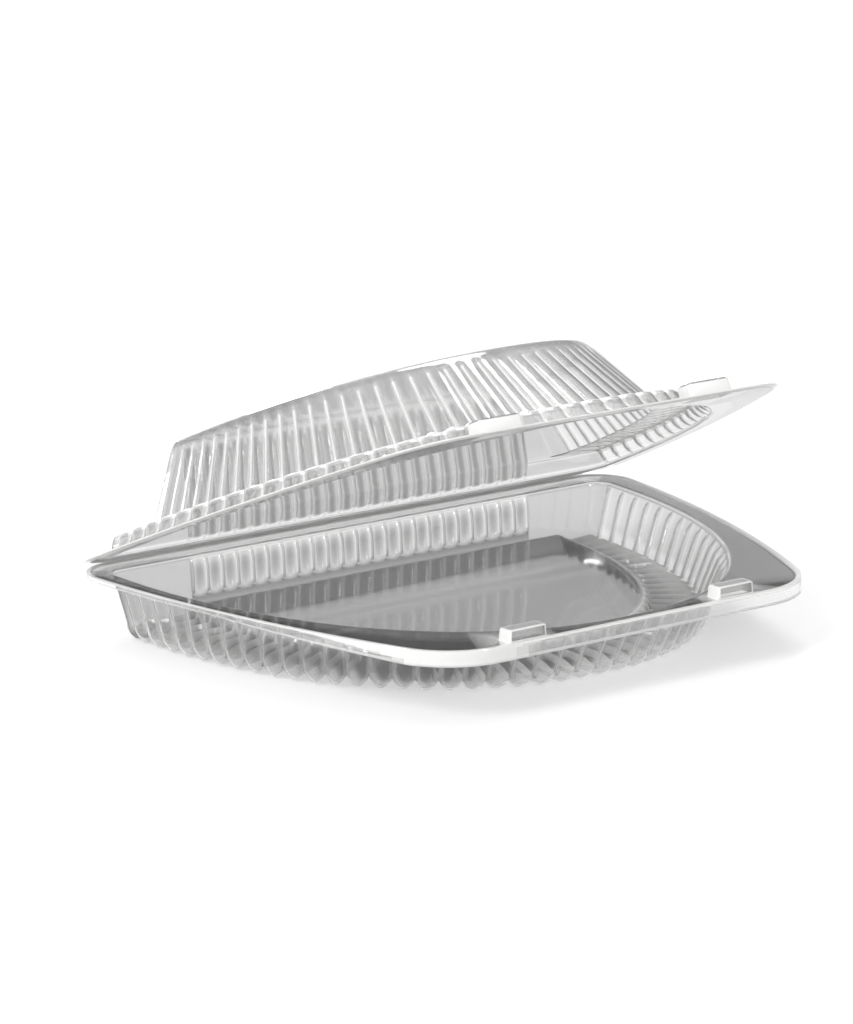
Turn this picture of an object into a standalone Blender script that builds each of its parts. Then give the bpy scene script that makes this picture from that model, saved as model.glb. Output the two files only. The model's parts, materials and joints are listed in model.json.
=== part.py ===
"""A clear clamshell food pack, half-moon in plan, thermoformed in one piece from thin plastic sheet.

The base is a shallow fluted tray and the lid is a deeper fluted dome. Both have the same flat flange, with a
raised rim, and they meet along a straight living hinge on the long side. Snap boxes near the front edge of the
base go into sockets in the lid.

Frame: metres, +Z up, +X along the hinge, -Y towards the opening front. The origin lies under the middle of the
pack, on the surface that it stands on. Plan distances named forward are measured from the hinge axis to the
front. The lid is built closed, with its origin on the hinge axis, and then turned open.
"""

import math

import bmesh
import bpy
from mathutils import Vector

# Driving dimensions: the sheet and the flange
SHEET = 0.0005
PACK_WIDTH = 0.240
PACK_DEPTH = 0.1665
SIDE_RADIUS = 0.440
SIDE_CENTRE_BACK = 0.024
HINGE_CORNER_RADIUS = 0.0146
FRONT_CORNER_RADIUS = 0.0280
RIM_WIDTH = 0.0014
RIM_STEP = 0.0005
RIM_SLOPE = 0.0004
SKIRT_FRONT = 0.0053
SKIRT_SIDE = 0.0016
SKIRT_FLARE = 0.0004
SKIRT_GROWS_FROM = 0.075
SKIRT_FULL_AT = 0.150

# Driving dimensions: the mouth that tray and dome share, an arch with a straight side along the hinge
ARCH_POWER = 2.2
SIDE_LAND = 0.0110
FRONT_LAND = 0.0047
MOUTH_CENTRE = 0.0040
MOUTH_BACK = 0.0092
MOUTH_CORNER = 0.0060

# Driving dimensions: the tray, with how far its foot and its floor panel stand in from the outline before
TRAY_DEPTH = 0.0243
TRAY_LIP = 0.0014
FOOT_IN_SIDE = 0.0090
FOOT_IN_FRONT = 0.0170
FOOT_IN_BACK = 0.0024
FOOT_CENTRE = 0.0080
FOOT_CORNER = 0.0050
FOOT_RADIUS = 0.0060
FOOT_TURN = 0.29
WALL_SHARE = 0.55
TOE_LENGTH_SIDE = 0.0150
TOE_LENGTH_FRONT = 0.0130
CHANNEL_WIDTH = 0.0032
PANEL_RISE = 0.0026
PANEL_SLOPE = 0.0024
PANEL_CORNER = 0.0040

# Driving dimensions: the dome, with how far its wall and its top stand in from the outline before
DOME_HEIGHT = 0.0352
DOME_LIP = 0.0012
STEP_HEIGHT = 0.0065
STEP_FOOT = 0.0010
STEP_INSET = 0.0022
LEDGE_SIDE = 0.0178
LEDGE_FRONT = 0.0180
LEDGE_BACK = 0.0032
WALL_CENTRE = 0.0080
TOP_IN_SIDE = 0.0122
TOP_IN_FRONT = 0.0220
TOP_IN_BACK = 0.0051
TOP_CENTRE = 0.0100
TOP_CORNER = 0.0040
TOP_CHAMFER = 0.0032

# Driving dimensions: the flutes
FLUTE_COUNT = 47
FLUTE_DEPTH = 0.0018
FLOOR_FLUTE_DEPTH = 0.0062
DOME_FLUTE_DEPTH = 0.0013
RIB_COUNT = 23
RIB_PITCH = 0.00645
RIB_DEPTH = 0.0013
RIB_END_RISE = 0.0037
RIB_END_HEIGHT = 0.0016
POINTS_PER_FLUTE = 3
POINTS_PER_RIB = 2

# Driving dimensions: the snap boxes and their sockets
SNAP_SPACING = 0.0890
SNAP_LENGTH = 0.0152
SNAP_DEPTH = 0.0060
SNAP_HEIGHT = 0.0042
SNAP_DRAFT = 0.0004
SNAP_CORNER = 0.0010
SNAP_RECESS_MARGIN = 0.0011
SNAP_RECESS = 0.0005
SNAP_SETBACK = 0.0004
SOCKET_CLEARANCE = 0.0012

# Driving dimensions: the hinge
HINGE_CLEARANCE = 0.00015
OPENING_ANGLE = math.radians(24)

# How finely the rounds are divided
SMOOTH_COLUMNS = 3
CORNER_COLUMNS = 4
ARCH_STEPS = 240

# Places that follow from the sizes
HINGE_Y = (PACK_DEPTH + SKIRT_FLARE) / 2
FLANGE_Z = TRAY_DEPTH
HINGE_Z = FLANGE_Z + RIM_STEP + HINGE_CLEARANCE
RIM_INNER = RIM_WIDTH + RIM_SLOPE


def clear_scene():
    for old in list(bpy.data.objects):
        bpy.data.objects.remove(old)


def clear_plastic(name, colour, roughness):
    material = bpy.data.materials.new(name)
    material.use_nodes = True
    shader = material.node_tree.nodes["Principled BSDF"]
    shader.inputs["Base Color"].default_value = (*colour, 1)
    shader.inputs["Roughness"].default_value = roughness
    shader.inputs["Metallic"].default_value = 0
    shader.inputs["IOR"].default_value = 1.57
    shader.inputs["Alpha"].default_value = 0.45
    return material


def arc(centre_x, centre_forward, radius, start, end, steps):
    """Points on a round stretch, from the start angle to the end angle, both ends included."""
    turns = [start + (end - start) * i / steps for i in range(steps + 1)]
    return [(centre_x + radius * math.cos(a), centre_forward + radius * math.sin(a)) for a in turns]


def flange_outline(inset):
    """The edge of the flange, drawn in by inset, from the hinge's right end round the front to its left end."""
    side_x = PACK_WIDTH / 2 - SIDE_RADIUS
    hinge_forward = HINGE_CLEARANCE + HINGE_CORNER_RADIUS
    hinge_rise = hinge_forward + SIDE_CENTRE_BACK
    hinge_x = side_x + math.sqrt((SIDE_RADIUS - HINGE_CORNER_RADIUS) ** 2 - hinge_rise**2)
    front_forward = PACK_DEPTH - FRONT_CORNER_RADIUS
    front_rise = front_forward + SIDE_CENTRE_BACK
    front_x = side_x + math.sqrt((SIDE_RADIUS - FRONT_CORNER_RADIUS) ** 2 - front_rise**2)
    hinge_turn = math.atan2(hinge_rise, hinge_x - side_x)
    front_turn = math.atan2(front_rise, front_x - side_x)
    right = arc(hinge_x, hinge_forward, HINGE_CORNER_RADIUS - inset, -math.pi / 2, hinge_turn, 6)
    right += arc(side_x, -SIDE_CENTRE_BACK, SIDE_RADIUS - inset, hinge_turn, front_turn, 16)[1:]
    right += arc(front_x, front_forward, FRONT_CORNER_RADIUS - inset, front_turn, math.pi / 2, 5)[1:]
    return right + [(-x, forward) for x, forward in reversed(right)]


def outline_of(half_width, front, back, centre, corner):
    """A plan outline: a straight back, and a rounded arch that is widest at its centre and ends at its front.

    It is kept as (half width, centre, reach from the centre to the front, back, corner radius).
    """
    return (half_width, centre, front - centre, back, corner)


def set_in(outline, side, front, back, centre, corner):
    """The next outline inwards, by how far it stands in at the sides, at the front and at the back."""
    half_width, old_centre, reach, old_back, _ = outline
    return outline_of(half_width - side, old_centre + reach - front, old_back + back, centre, corner)


MOUTH = outline_of(
    PACK_WIDTH / 2 - SIDE_LAND, PACK_DEPTH - RIM_INNER - FRONT_LAND, MOUTH_BACK, MOUTH_CENTRE, MOUTH_CORNER
)
FOOT = set_in(MOUTH, FOOT_IN_SIDE, FOOT_IN_FRONT, FOOT_IN_BACK, FOOT_CENTRE, FOOT_CORNER)
PANEL = set_in(FOOT, TOE_LENGTH_SIDE, TOE_LENGTH_FRONT, CHANNEL_WIDTH, FOOT_CENTRE, PANEL_CORNER)
WALL = set_in(MOUTH, LEDGE_SIDE, LEDGE_FRONT, LEDGE_BACK, WALL_CENTRE, MOUTH_CORNER)
TOP = set_in(WALL, TOP_IN_SIDE, TOP_IN_FRONT, TOP_IN_BACK, TOP_CENTRE, TOP_CORNER)


def drawn_in(outline, inset):
    half_width, centre, reach, back, corner = outline
    return (half_width - inset, centre, reach - inset, back + inset, max(corner - inset, SHEET))


def between(first, second, share):
    """An outline part of the way from the first to the second."""
    return tuple(a + (b - a) * share for a, b in zip(first, second))


def wall_at(depth):
    """The outline of the tray's wall at a depth below the flange, on the wall's straight stretch."""
    straight = FLANGE_Z - SHEET - FOOT_RADIUS
    return between(MOUTH, FOOT, WALL_SHARE * depth / straight)


def spread(points, count):
    """count points at equal steps along a line of points, from its first to its last."""
    lengths = [0.0]
    for (x0, f0), (x1, f1) in zip(points, points[1:]):
        lengths.append(lengths[-1] + math.hypot(x1 - x0, f1 - f0))
    found, segment = [], 0
    for i in range(count):
        wanted = lengths[-1] * i / (count - 1)
        while segment < len(points) - 2 and lengths[segment + 1] < wanted:
            segment += 1
        share = (wanted - lengths[segment]) / (lengths[segment + 1] - lengths[segment])
        (x0, f0), (x1, f1) = points[segment], points[segment + 1]
        found.append((x0 + (x1 - x0) * share, f0 + (f1 - f0) * share))
    return found


def cusp(phase):
    """How far a flute's wall stands in at a phase from 0 to 1: sharp ridges with round lobes between them."""
    return 1 - math.sin(math.pi * phase)


def arch(outline):
    """Points on the front of an outline, from the end of its right back corner round to the left one."""
    half_width, centre, reach, back, corner = outline
    start = back + corner
    points = [(half_width, start)]
    for i in range(1, ARCH_STEPS):
        turn = math.pi * i / ARCH_STEPS
        aside = math.copysign(abs(math.cos(turn)) ** (2 / ARCH_POWER), math.cos(turn))
        ahead = math.sin(turn) ** (2 / ARCH_POWER)
        if centre + reach * ahead > start:
            points.append((half_width * aside, centre + reach * ahead))
    return points + [(-half_width, start)]


def columns(outline):
    """[(point, kind, cusp)] round an outline: the ribs along the hinge, then right corner, front and left corner.

    Every outline gets the same number of columns in the same order, so that outlines can be lofted.
    """
    half_width, centre, reach, back, corner = outline
    rib_end = RIB_COUNT * RIB_PITCH / 2
    straight_end = half_width - corner
    found = []
    for i in range(RIB_COUNT * POINTS_PER_RIB + 1):
        x = -rib_end + i * RIB_PITCH / POINTS_PER_RIB
        found.append(((x, back), "rib", cusp(i / POINTS_PER_RIB % 1)))
    for i in range(1, SMOOTH_COLUMNS + 1):
        x = rib_end + (straight_end - rib_end) * i / SMOOTH_COLUMNS
        found.append(((x, back), "smooth", 0))
    right_corner = arc(straight_end, back + corner, corner, -math.pi / 2, 0, CORNER_COLUMNS)[1:-1]
    found += [(point, "smooth", 0) for point in right_corner]
    flutes = spread(arch(outline), FLUTE_COUNT * POINTS_PER_FLUTE + 1)
    found += [(point, "flute", cusp(i / POINTS_PER_FLUTE % 1)) for i, point in enumerate(flutes)]
    found += [((-x, forward), "smooth", 0) for x, forward in reversed(right_corner)]
    for i in range(SMOOTH_COLUMNS):
        x = -straight_end + (straight_end - rib_end) * i / SMOOTH_COLUMNS
        found.append(((x, back), "smooth", 0))
    return found


def ring(mesh, outline, height, flute_in=0.0, flute_up=0.0, rib_in=0.0, rib_up=0.0):
    """A closed loop of vertices on an outline. The flutes' and ribs' ridges stand in by their in and up sizes."""
    depths = {"flute": (flute_in, flute_up), "rib": (rib_in, rib_up), "smooth": (0.0, 0.0)}
    plain = columns(outline)
    inner = {kind: columns(drawn_in(outline, depth[0])) for kind, depth in depths.items()}
    loop = []
    for i, ((x, forward), kind, ridge) in enumerate(plain):
        (x_in, forward_in), _, _ = inner[kind][i]
        place = (
            x + (x_in - x) * ridge,
            -(forward + (forward_in - forward) * ridge),
            height + depths[kind][1] * ridge,
        )
        loop.append(mesh.verts.new(place))
    return loop


def flat_loop(mesh, points, height):
    return [mesh.verts.new((x, -forward, height)) for x, forward in points]


def band(mesh, first, second, closed=True):
    """Faces between two loops that have the same number of vertices."""
    last = len(first) if closed else len(first) - 1
    for i in range(last):
        j = (i + 1) % len(first)
        mesh.faces.new((first[i], first[j], second[j], second[i]))


def loft(mesh, loops):
    for first, second in zip(loops, loops[1:]):
        band(mesh, first, second)
    mesh.faces.new(loops[-1])


def closed_edges(mesh, loop):
    pairs = zip(loop, loop[1:] + loop[:1])
    return [mesh.edges.get(pair) or mesh.edges.new(pair) for pair in pairs]


def snap_outline(centre_x, grow, draw_in):
    """The plan of a snap box, or of a socket where it grows, with small cut corners."""
    half = SNAP_LENGTH / 2 + grow - draw_in
    front = PACK_DEPTH - RIM_INNER - SNAP_SETBACK + min(grow, SNAP_SETBACK / 2) - draw_in
    back = PACK_DEPTH - RIM_INNER - SNAP_SETBACK - SNAP_DEPTH - grow + draw_in
    cut = SNAP_CORNER
    return [
        (centre_x + half - cut, back),
        (centre_x + half, back + cut),
        (centre_x + half, front - cut),
        (centre_x + half - cut, front),
        (centre_x - half + cut, front),
        (centre_x - half, front - cut),
        (centre_x - half, back + cut),
        (centre_x - half + cut, back),
    ]


def snap_box(mesh, centre_x, level, height, grow, recess):
    """A hollow box raised from the flange. Returns the loop where it meets the flange."""
    foot = flat_loop(mesh, snap_outline(centre_x, grow, 0.0), level)
    top = flat_loop(mesh, snap_outline(centre_x, grow, SNAP_DRAFT), level + height)
    band(mesh, foot, top)
    mesh.faces.new(top)
    if recess:
        front = next(face for face in foot[3].link_faces if foot[4] in face.verts)
        bmesh.ops.inset_individual(mesh, faces=[front], thickness=SNAP_RECESS_MARGIN, use_even_offset=True)
        for vertex in front.verts:
            vertex.co.y += SNAP_RECESS
    return foot


def flange(mesh, level, mouth, box_height, grow, recess):
    """The flat flange round the mouth, its raised rim and its snap boxes. Returns the rim's outer edge."""
    inner = flat_loop(mesh, flange_outline(RIM_INNER), level)
    step = flat_loop(mesh, flange_outline(RIM_WIDTH), level + RIM_STEP)
    edge = flat_loop(mesh, flange_outline(0.0), level + RIM_STEP)
    band(mesh, inner, step)
    band(mesh, step, edge)
    loops = [inner, mouth]
    for side in (-1, 1):
        loops.append(snap_box(mesh, side * SNAP_SPACING / 2, level, box_height, grow, recess))
    edges = [edge for loop in loops for edge in closed_edges(mesh, loop)]
    bmesh.ops.triangle_fill(mesh, use_beauty=True, use_dissolve=False, edges=edges)
    return edge


def skirt(mesh, edge):
    """The lip that turns down from the rim, shallow along the sides and deep across the front."""
    lower = []
    for vertex in edge:
        forward = -vertex.co.y
        share = (forward - SKIRT_GROWS_FROM) / (SKIRT_FULL_AT - SKIRT_GROWS_FROM)
        share = min(max(share, 0.0), 1.0)
        drop = SKIRT_SIDE + (SKIRT_FRONT - SKIRT_SIDE) * share
        flare = SKIRT_FLARE * drop / SKIRT_FRONT
        outward = Vector((vertex.co.x, vertex.co.y + PACK_DEPTH / 2, 0)).normalized()
        if forward > PACK_DEPTH - FRONT_CORNER_RADIUS / 2:
            outward = Vector((0, -1, 0))
        place = vertex.co + outward * flare
        lower.append(mesh.verts.new((place.x, place.y, place.z - drop)))
    band(mesh, edge, lower, closed=False)


def sheet_object(name, mesh, material, cavity_up):
    """An object from a modelled face: the sheet's thickness lies on the face's far side from the cavity."""
    bmesh.ops.recalc_face_normals(mesh, faces=mesh.faces)
    highest = max(mesh.faces, key=lambda face: abs(face.normal.z) * face.calc_area())
    if (highest.normal.z > 0) != cavity_up:
        bmesh.ops.reverse_faces(mesh, faces=mesh.faces)
    data = bpy.data.meshes.new(name)
    mesh.to_mesh(data)
    mesh.free()
    data.materials.append(material)
    data.shade_smooth()
    data.set_sharp_from_angle(angle=math.radians(35))
    made = bpy.data.objects.new(name, data)
    bpy.context.scene.collection.objects.link(made)
    thickness = made.modifiers.new("sheet thickness", "SOLIDIFY")
    thickness.thickness = SHEET
    thickness.offset = -1
    thickness.use_even_offset = True
    return made


def base_tray(material):
    mesh = bmesh.new()
    floor = SHEET - FLANGE_Z
    wall_low = floor + FOOT_RADIUS
    rib_low = wall_low + RIB_END_RISE
    rib_end = rib_low + RIB_END_HEIGHT
    panel = floor + FLOOR_FLUTE_DEPTH + PANEL_RISE
    mouth = ring(mesh, MOUTH, 0.0)
    loops = [
        mouth,
        ring(mesh, wall_at(TRAY_LIP), -TRAY_LIP),
        ring(
            mesh,
            wall_at(2 * TRAY_LIP),
            -2 * TRAY_LIP,
            flute_in=FLUTE_DEPTH,
            flute_up=-TRAY_LIP / 2,
            rib_in=RIB_DEPTH,
            rib_up=-TRAY_LIP / 2,
        ),
        ring(mesh, wall_at(-rib_end), rib_end, flute_in=FLUTE_DEPTH, rib_in=RIB_DEPTH),
        ring(mesh, wall_at(-rib_low), rib_low, flute_in=FLUTE_DEPTH),
        ring(mesh, wall_at(-wall_low), wall_low, flute_in=FLUTE_DEPTH),
        ring(
            mesh,
            between(wall_at(-wall_low), FOOT, FOOT_TURN),
            floor + FOOT_RADIUS * FOOT_TURN,
            flute_in=FLUTE_DEPTH,
            flute_up=FLOOR_FLUTE_DEPTH * (1 - FOOT_TURN),
        ),
        ring(mesh, FOOT, floor, flute_in=FLUTE_DEPTH, flute_up=FLOOR_FLUTE_DEPTH),
        ring(mesh, PANEL, floor, flute_up=FLOOR_FLUTE_DEPTH),
        ring(mesh, drawn_in(PANEL, PANEL_SLOPE), panel),
    ]
    loft(mesh, loops)
    edge = flange(mesh, 0.0, mouth, SNAP_HEIGHT, 0.0, recess=True)
    skirt(mesh, edge)
    made = sheet_object("base_tray", mesh, material, cavity_up=True)
    made.location = (0, HINGE_Y, FLANGE_Z)
    return made


def dome_lid(material):
    mesh = bmesh.new()
    level = HINGE_CLEARANCE - RIM_STEP
    top = drawn_in(TOP, TOP_CHAMFER)
    mouth = ring(mesh, MOUTH, level)
    loops = [
        mouth,
        ring(mesh, MOUTH, level + DOME_LIP),
        ring(
            mesh,
            drawn_in(MOUTH, STEP_INSET),
            level + STEP_HEIGHT,
            flute_in=FLUTE_DEPTH,
            rib_in=RIB_DEPTH,
        ),
        ring(mesh, WALL, level + STEP_HEIGHT + STEP_FOOT, flute_in=DOME_FLUTE_DEPTH, rib_in=RIB_DEPTH),
        ring(mesh, TOP, level + DOME_HEIGHT - TOP_CHAMFER, flute_in=DOME_FLUTE_DEPTH / 2, rib_in=RIB_DEPTH),
        ring(mesh, top, level + DOME_HEIGHT - SHEET),
    ]
    loft(mesh, loops)
    box_height = SNAP_HEIGHT + SOCKET_CLEARANCE
    flange(mesh, level, mouth, box_height, SOCKET_CLEARANCE, recess=False)
    made = sheet_object("lid", mesh, material, cavity_up=False)
    made.location = (0, HINGE_Y, HINGE_Z)
    made.rotation_euler = (-OPENING_ANGLE, 0, 0)
    return made


def build():
    clear_scene()
    base_tray(clear_plastic("clear_sheet_base", (0.90, 0.92, 0.93), 0.08))
    dome_lid(clear_plastic("clear_sheet_lid", (0.86, 0.89, 0.91), 0.08))


build()
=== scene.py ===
"""The looks of the clear clamshell pack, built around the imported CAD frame.

Metres, +Z up, -Y towards the opening front. Both halves are lofted in hinge coordinates: x along the hinge,
forward from the hinge to the front, and height over the plane where the two flanges meet.
"""

import json
import math

import bmesh
import bpy
from mathutils import Matrix, Vector
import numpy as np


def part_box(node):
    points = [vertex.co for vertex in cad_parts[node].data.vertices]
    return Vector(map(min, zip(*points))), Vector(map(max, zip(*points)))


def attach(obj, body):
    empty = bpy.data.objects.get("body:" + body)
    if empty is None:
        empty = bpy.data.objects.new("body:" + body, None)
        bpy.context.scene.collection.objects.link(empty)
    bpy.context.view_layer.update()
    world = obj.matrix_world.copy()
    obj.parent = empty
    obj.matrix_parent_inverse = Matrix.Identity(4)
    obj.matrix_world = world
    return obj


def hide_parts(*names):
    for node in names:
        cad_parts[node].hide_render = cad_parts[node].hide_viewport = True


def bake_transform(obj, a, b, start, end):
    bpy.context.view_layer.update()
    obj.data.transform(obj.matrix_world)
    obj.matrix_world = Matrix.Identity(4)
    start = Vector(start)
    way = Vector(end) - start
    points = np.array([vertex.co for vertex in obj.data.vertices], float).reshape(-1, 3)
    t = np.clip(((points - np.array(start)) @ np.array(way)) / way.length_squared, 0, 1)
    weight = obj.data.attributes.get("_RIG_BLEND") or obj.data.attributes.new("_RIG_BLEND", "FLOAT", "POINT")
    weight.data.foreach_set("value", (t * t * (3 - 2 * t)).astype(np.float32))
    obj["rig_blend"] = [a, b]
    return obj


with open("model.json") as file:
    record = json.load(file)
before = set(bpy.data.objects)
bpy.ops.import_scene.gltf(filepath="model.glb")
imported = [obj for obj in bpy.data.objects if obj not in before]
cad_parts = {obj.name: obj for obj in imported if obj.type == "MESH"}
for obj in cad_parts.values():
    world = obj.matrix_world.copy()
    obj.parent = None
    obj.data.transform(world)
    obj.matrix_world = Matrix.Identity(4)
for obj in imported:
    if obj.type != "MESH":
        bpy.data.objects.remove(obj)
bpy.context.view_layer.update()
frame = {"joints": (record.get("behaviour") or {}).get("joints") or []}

# The formed sheet
# Both halves are pressed from one clear, glossy plastic sheet about half a millimetre thick. It bends the
# light and turns grey where it is seen through several walls. Painted shade greys it where it is deep, and
# painted highlights whiten its sharp crests and folds.

SHEET_THICKNESS = 0.0005
SHEET_ROUGHNESS = 0.05
SHEET_IOR = 1.57
# The white of the painted highlights on crests, rims and folds
PAINTED_HIGHLIGHT_COLOUR = (0.99, 0.99, 0.98)
# How clear each copy of the plastic is, from plain sheet to the milkiest, which shows the whitest painted
# highlights
CLEARNESS_BY_PAINTED_HIGHLIGHT = (0.94, 0.74, 0.50, 0.30)
hinge = Vector(frame["joints"][0]["pos_m"])
tray_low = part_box("base_tray")[0]


def sheet_colour_group():
    """The sheet's colour from two masks: from its thin tint to a painted shade colour, and then to painted
    highlight white.
    """
    group = bpy.data.node_groups.new("tint_and_painted_light", "ShaderNodeTree")
    for colour in ("Thin Colour", "Deep Colour", "Crest Colour"):
        group.interface.new_socket(colour, in_out="INPUT", socket_type="NodeSocketColor")
    for mask in ("Deep", "Crest"):
        group.interface.new_socket(mask, in_out="INPUT", socket_type="NodeSocketFloat")
    group.interface.new_socket("Colour", in_out="OUTPUT", socket_type="NodeSocketColor")
    given = group.nodes.new("NodeGroupInput")
    made = group.nodes.new("NodeGroupOutput")
    shown = given.outputs["Thin Colour"]
    for mask in ("Deep", "Crest"):
        mixed = group.nodes.new("ShaderNodeMix")
        mixed.data_type = "RGBA"
        group.links.new(given.outputs[mask], mixed.inputs["Factor"])
        group.links.new(shown, mixed.inputs["A"])
        group.links.new(given.outputs[f"{mask} Colour"], mixed.inputs["B"])
        shown = mixed.outputs["Result"]
    group.links.new(shown, made.inputs["Colour"])
    return group


tint_and_painted_light = sheet_colour_group()


def clear_sheet(name, thin_colour, painted_shade_colour, clearness):
    """Clear glossy plastic, coloured by its tint and by the painted shade and painted highlight masks of its
    mesh.
    """
    material = bpy.data.materials.new(name)
    material.use_nodes = True
    nodes, links = material.node_tree.nodes, material.node_tree.links
    shader = nodes["Principled BSDF"]
    shader.inputs["Metallic"].default_value = 0.0
    shader.inputs["Roughness"].default_value = SHEET_ROUGHNESS
    shader.inputs["IOR"].default_value = SHEET_IOR
    shader.inputs["Transmission Weight"].default_value = clearness
    colour = nodes.new("ShaderNodeGroup")
    colour.node_tree = tint_and_painted_light
    colour.inputs["Thin Colour"].default_value = (*thin_colour, 1)
    # The deep colour is painted shade, and the crest colour a painted highlight.
    colour.inputs["Deep Colour"].default_value = (*painted_shade_colour, 1)
    colour.inputs["Crest Colour"].default_value = (*PAINTED_HIGHLIGHT_COLOUR, 1)
    for mask in ("Deep", "Crest"):
        painted = nodes.new("ShaderNodeAttribute")
        painted.attribute_name = mask.lower()
        links.new(painted.outputs["Fac"], colour.inputs[mask])
    links.new(colour.outputs["Colour"], shader.inputs["Base Color"])
    return material


# The base tray
# The shallow fluted half that stands on the table, part of the one formed sheet: a flat flange with a raised
# rim and a skirt, a wall of round flutes that end in toes, a raised floor panel, and ribs along the hinge.

# The tray's thin tint, and the painted shade colour of its deep places
TRAY_TINT_AND_PAINTED_SHADE = ((0.93, 0.93, 0.93), (0.14, 0.14, 0.14))
# Outlines seen from above: (half width, centre, reach, back, corner radius)
MOUTH = (0.1090, 0.0040, 0.1560, 0.0092, 0.0060)
TRAY_FOOT = (0.1000, 0.0080, 0.1350, 0.0116, 0.0050)
TRAY_PANEL = (0.0850, 0.0080, 0.1220, 0.0148, 0.0040)
# The front of an outline is a curve a little squarer than an ellipse, whose power is 2.
ARCH_POWER = 2.2
ARCH_STEPS = 360
FLUTES = 47
FLUTE_POINTS = 12
RIBS = 23
RIB_PITCH = 0.00645
RIB_POINTS = 10
# Points of the plain sheet beside the ribs, as shares of the way to the corner
SMOOTH_SHARES = (0.02, 0.2, 0.4, 0.6, 0.8, 1.0)
CORNER_POINTS = 7
LOBE_FULLNESS = 0.65
FLUTE_DEPTH = 0.0018
RIB_DEPTH = 0.0013
# How fast the painted highlight on a crest falls off beside it
PAINTED_HIGHLIGHT_SHARPNESS = 1.9
KINDS = ("flute", "rib", "smooth")


def arc(centre_x, centre_forward, radius, start, end, steps):
    """Points on a round stretch, with both its ends."""
    turns = [start + (end - start) * i / steps for i in range(steps + 1)]
    return [(centre_x + radius * math.cos(a), centre_forward + radius * math.sin(a)) for a in turns]


def drawn_in(outline, inset):
    """An outline drawn in on all sides, or let out where the inset is negative."""
    half_width, centre, reach, back, corner = outline
    return (half_width - inset, centre, reach - inset, back + inset, max(corner - inset, SHEET_THICKNESS))


def between(first, second, share):
    """The outline at a share of the way from the first to the second."""
    return tuple(a + (b - a) * share for a, b in zip(first, second))


def arch(outline):
    """Points on the front of an outline, from the end of its right back corner round to the left one."""
    half_width, centre, reach, back, corner = outline
    start = back + corner
    points = [(half_width, start)]
    for i in range(1, ARCH_STEPS):
        turn = math.pi * i / ARCH_STEPS
        aside = math.copysign(abs(math.cos(turn)) ** (2 / ARCH_POWER), math.cos(turn))
        ahead = math.sin(turn) ** (2 / ARCH_POWER)
        if centre + reach * ahead > start:
            points.append((half_width * aside, centre + reach * ahead))
    return points + [(-half_width, start)]


def spread(points, count):
    """count points at equal steps along a line of points, from its first to its last."""
    lengths = [0.0]
    for (x0, f0), (x1, f1) in zip(points, points[1:]):
        lengths.append(lengths[-1] + math.hypot(x1 - x0, f1 - f0))
    found, segment = [], 0
    for i in range(count):
        wanted = lengths[-1] * i / (count - 1)
        while segment < len(points) - 2 and lengths[segment + 1] < wanted:
            segment += 1
        share = (wanted - lengths[segment]) / (lengths[segment + 1] - lengths[segment])
        (x0, f0), (x1, f1) = points[segment], points[segment + 1]
        found.append((x0 + (x1 - x0) * share, f0 + (f1 - f0) * share))
    return found


def ridge(phase):
    """How far a flute stands in at a phase from 0 to 1: sharp crests with round lobes between them."""
    return 1 - abs(math.sin(math.pi * phase)) ** LOBE_FULLNESS


def columns(outline):
    """[(point, kind, ridge)] once round an outline: hinge ribs, right corner, fluted arch, left corner."""
    half_width, centre, reach, back, corner = outline
    rib_end = RIBS * RIB_PITCH / 2
    straight_end = half_width - corner
    found = []
    for i in range(RIBS * RIB_POINTS + 1):
        x = -rib_end + i * RIB_PITCH / RIB_POINTS
        found.append(((x, back), "rib", ridge(i / RIB_POINTS % 1)))
    beside = [rib_end + (straight_end - rib_end) * share for share in SMOOTH_SHARES]
    found += [((x, back), "smooth", 0) for x in beside]
    right_corner = arc(straight_end, back + corner, corner, -math.pi / 2, 0, CORNER_POINTS)[1:-1]
    found += [(point, "smooth", 0) for point in right_corner]
    flutes = spread(arch(outline), FLUTES * FLUTE_POINTS + 1)
    found += [(point, "flute", ridge(i / FLUTE_POINTS % 1)) for i, point in enumerate(flutes)]
    found += [((-x, forward), "smooth", 0) for x, forward in reversed(right_corner)]
    found += [((-x, back), "smooth", 0) for x in reversed(beside)]
    return found


def even_shade(deep):
    """One painted shade for every kind of column, on its crests and between them."""
    return {kind: (deep, deep) for kind in KINDS}


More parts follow.
